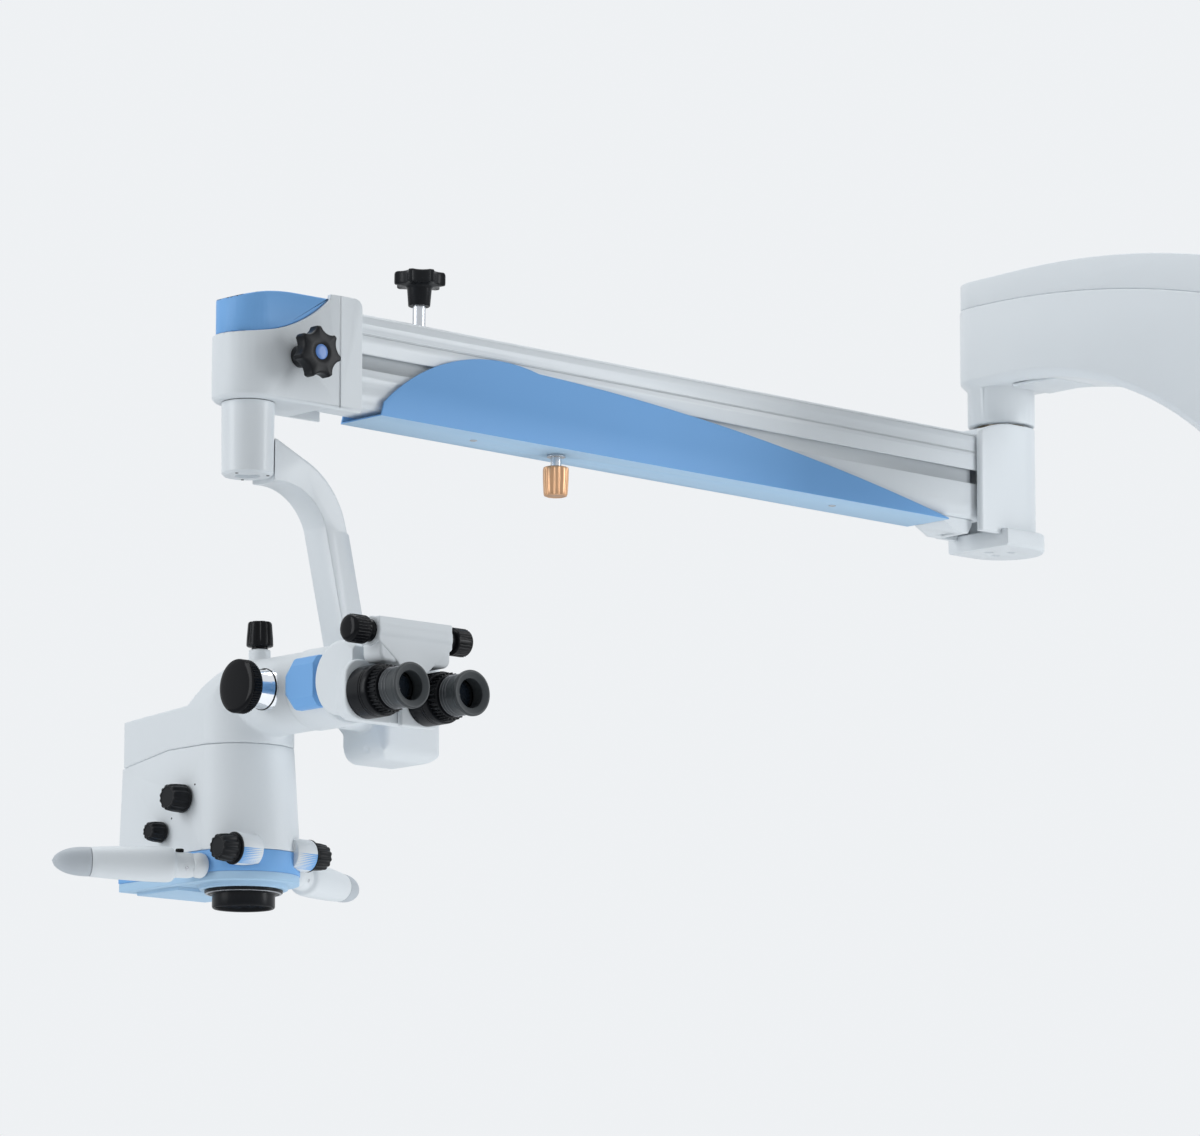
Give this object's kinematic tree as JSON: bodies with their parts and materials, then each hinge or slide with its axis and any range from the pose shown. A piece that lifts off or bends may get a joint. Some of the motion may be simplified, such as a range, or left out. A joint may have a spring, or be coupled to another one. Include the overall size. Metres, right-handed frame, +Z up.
{
  "type": "surgical microscope",
  "caption": "Surgical microscope head with binocular tube, hung from a spring-balanced parallel link arm and a goose-neck swing arm that seats on a stand column",
  "frame": {"origin": "centre of the column socket's mouth, under the swing arm's hub", "axes": "Z up along the column; X along the balance arm, with the microscope head at -X; the eyepieces face -Y"},
  "size_m": [1.0992, 0.5265, 0.6406],
  "materials": {
    "white_paint": "satin",
    "white_plastic": "satin",
    "blue_plastic": "satin",
    "pale_blue": "satin",
    "black_plastic": "gloss",
    "black_metal": "satin",
    "knob_blue": "gloss",
    "copper": "satin",
    "steel": "brushed",
    "chrome": "polished",
    "bronze": "satin",
    "grey_plastic": "satin",
    "rubber": "matte",
    "glass": "polished"
  },
  "bodies": {
    "swing_arm": {"swing_arm_housing": "white_paint", "swing_arm_cover": "white_plastic", "swing_arm_service_plate": "white_paint", "swing_arm_bushes": "bronze"},
    "post": {"elbow_spindle": "steel", "post_housing": "white_paint", "post_base_plate": "white_plastic", "rear_pivot_pins": "steel"},
    "upper_beam": {"upper_beam": "white_paint"},
    "lower_beam": {"lower_beam": "white_paint", "under_cover": "blue_plastic", "under_cover_end_shoe": "white_plastic", "gas_spring": "black_metal"},
    "balance_screw": {"balance_knob": "copper", "balance_stem": "steel"},
    "lift_lock": {"lift_lock_knob": "black_plastic", "lift_lock_rod": "steel"},
    "front_block": {"block_housing": "white_plastic", "block_cap": "blue_plastic", "front_pivot_pins": "steel"},
    "brake": {"brake_knob": "black_plastic", "brake_knob_disc": "knob_blue"},
    "carrier": {"swivel_sleeve": "white_paint", "swivel_spindle": "steel", "carrier_arm": "white_paint", "carrier_box": "white_plastic", "tilt_axle": "steel"},
    "head": {"head_upper_shell": "white_plastic", "head_lower_shell": "white_plastic", "head_skirt": "blue_plastic", "head_base_plate": "pale_blue", "objective_barrel": "black_metal", "objective_lens": "glass", "tilt_knob_collar": "chrome"},
    "tilt_lock": {"tilt_knob": "black_plastic"},
    "tube_clamp": {"tube_clamp_knob": "black_plastic"},
    "magnification": {"magnification_drum": "black_metal", "magnification_knobs": "black_plastic"},
    "filter": {"filter_knob": "black_plastic"},
    "focus": {"focus_knobs": "black_plastic"},
    "focus_cell": {"focus_lens_cell": "black_metal"},
    "left_grip": {"left_handle": "white_plastic", "left_handle_tip": "grey_plastic"},
    "right_grip": {"right_handle": "white_plastic", "right_handle_tip": "grey_plastic"},
    "button": {"handle_button": "black_plastic"},
    "tube": {"tube_base_housing": "white_plastic", "tube_side_panels": "blue_plastic"},
    "binocular": {"binocular_housing": "white_plastic"},
    "distance": {"distance_knobs": "black_plastic"},
    "left_eyepiece": {"left_prism_housing": "white_plastic", "left_eyepiece_tube": "black_metal", "left_eye_lens": "glass"},
    "right_eyepiece": {"right_prism_housing": "white_plastic", "right_eyepiece_tube": "black_metal", "right_eye_lens": "glass"},
    "left_dioptre": {"left_dioptre_ring": "black_metal"},
    "right_dioptre": {"right_dioptre_ring": "black_metal"},
    "left_cup": {"left_eyecup": "rubber"},
    "right_cup": {"right_eyecup": "rubber"}
  },
  "joints": [
    {"name": "elbow_swivel", "type": "hinge", "parent": "swing_arm", "child": "post", "pos_m": [0, 0.36, 0.112], "axis": [0, 0, 1], "range_deg": [-225, 45]},
    {"name": "arm_lift", "type": "hinge", "parent": "post", "child": "upper_beam", "pos_m": [-0.035, 0.36, 0.0813], "axis": [0, 1, 0], "range_deg": [-20, 20]},
    {"name": "lower_link", "type": "hinge", "parent": "post", "child": "lower_beam", "pos_m": [-0.035, 0.36, 0.0363], "axis": [0, 1, 0], "range_deg": [-20, 20]},
    {"name": "block_level", "type": "hinge", "parent": "upper_beam", "child": "front_block", "pos_m": [-0.80273, 0.36, 0.09135], "axis": [0, 1, 0], "range_deg": [-20, 20]},
    {"name": "head_swivel", "type": "hinge", "parent": "front_block", "child": "carrier", "pos_m": [-0.88073, 0.36, 0.02035], "axis": [0, 0, 1], "range_deg": [-150, 150]},
    {"name": "head_tilt", "type": "hinge", "parent": "carrier", "child": "head", "pos_m": [-0.84073, 0.295, -0.22765], "axis": [1, 0, 0], "range_deg": [-30, 60]},
    {"name": "tube_rotate", "type": "hinge", "parent": "head", "child": "tube", "pos_m": [-0.88073, 0.269, -0.22765], "axis": [0, 1, 0], "range_deg": [-45, 45]},
    {"name": "tube_incline", "type": "hinge", "parent": "tube", "child": "binocular", "pos_m": [-0.88073, 0.195, -0.22965], "axis": [-1, 0, 0], "range_deg": [-20, 60]},
    {"name": "distance_knob_turn", "type": "hinge", "parent": "binocular", "child": "distance", "pos_m": [-0.88073, 0.157, -0.19665], "axis": [1, 0, 0], "range_deg": [-180, 180]},
    {"name": "left_eyepiece_slide", "type": "slide", "parent": "binocular", "child": "left_eyepiece", "axis": [-1, 0, 0], "range_m": [-0.005, 0.005]},
    {"name": "right_eyepiece_slide", "type": "slide", "parent": "binocular", "child": "right_eyepiece", "axis": [1, 0, 0], "range_m": [-0.005, 0.005]},
    {"name": "left_dioptre_turn", "type": "hinge", "parent": "left_eyepiece", "child": "left_dioptre", "pos_m": [-0.91193, 0.1697, -0.24415], "axis": [0, -1, 0], "range_deg": [-90, 90]},
    {"name": "right_dioptre_turn", "type": "hinge", "parent": "right_eyepiece", "child": "right_dioptre", "pos_m": [-0.84953, 0.1697, -0.24415], "axis": [0, -1, 0], "range_deg": [-90, 90]},
    {"name": "left_eyecup_slide", "type": "slide", "parent": "left_eyepiece", "child": "left_cup", "axis": [0, -1, 0], "range_m": [0, 0.005]},
    {"name": "right_eyecup_slide", "type": "slide", "parent": "right_eyepiece", "child": "right_cup", "axis": [0, -1, 0], "range_m": [0, 0.005]},
    {"name": "balance_knob_turn", "type": "hinge", "parent": "lower_beam", "child": "balance_screw", "pos_m": [-0.54297, 0.36, 0.01895], "axis": [0.0131, 0, 0.9999], "continuous": true},
    {"name": "lift_lock_turn", "type": "hinge", "parent": "upper_beam", "child": "lift_lock", "pos_m": [-0.69745, 0.36, 0.10497], "axis": [0.0131, 0, 0.9999], "range_deg": [-180, 180]},
    {"name": "brake_knob_turn", "type": "hinge", "parent": "front_block", "child": "brake", "pos_m": [-0.85173, 0.33, 0.05835], "axis": [0, -1, 0], "range_deg": [-180, 180]},
    {"name": "tilt_knob_turn", "type": "hinge", "parent": "head", "child": "tilt_lock", "pos_m": [-0.93073, 0.295, -0.22765], "axis": [-1, 0, 0], "range_deg": [-180, 180]},
    {"name": "tube_clamp_turn", "type": "hinge", "parent": "head", "child": "tube_clamp", "pos_m": [-0.88073, 0.342, -0.18665], "axis": [0, 0, 1], "range_deg": [-180, 180]},
    {"name": "magnification_turn", "type": "hinge", "parent": "head", "child": "magnification", "pos_m": [-0.88073, 0.382, -0.30865], "axis": [1, 0, 0], "continuous": true},
    {"name": "filter_turn", "type": "hinge", "parent": "head", "child": "filter", "pos_m": [-0.92573, 0.409, -0.33365], "axis": [1, 0, 0], "range_deg": [0, 180]},
    {"name": "focus_turn", "type": "hinge", "parent": "head", "child": "focus", "pos_m": [-0.88073, 0.325, -0.35365], "axis": [1, 0, 0], "range_deg": [-150, 150]},
    {"name": "focus_cell_slide", "type": "slide", "parent": "head", "child": "focus_cell", "axis": [0, 0, 1], "range_m": [-0.002, 0.002]},
    {"name": "left_handle_turn", "type": "hinge", "parent": "head", "child": "left_grip", "pos_m": [-0.92703, 0.357, -0.36565], "axis": [1, 0, 0], "range_deg": [-45, 45]},
    {"name": "right_handle_turn", "type": "hinge", "parent": "head", "child": "right_grip", "pos_m": [-0.83443, 0.357, -0.36565], "axis": [1, 0, 0], "range_deg": [-45, 45]},
    {"name": "handle_button_press", "type": "slide", "parent": "left_grip", "child": "button", "axis": [0, 0, -1], "range_m": [0, 0.0015], "stiffness_N_per_m": 400, "springref_m": -0.001}
  ],
  "couplings": [
    {"joint": "lower_link", "follows": "arm_lift", "ratio": 1},
    {"joint": "block_level", "follows": "arm_lift", "ratio": -1},
    {"joint": "distance_knob_turn", "follows": "left_eyepiece_slide", "rad_per_m": 627.69},
    {"joint": "right_eyepiece_slide", "follows": "left_eyepiece_slide", "ratio": 1},
    {"joint": "focus_turn", "follows": "focus_cell_slide", "rad_per_m": 1307.7}
  ]
}
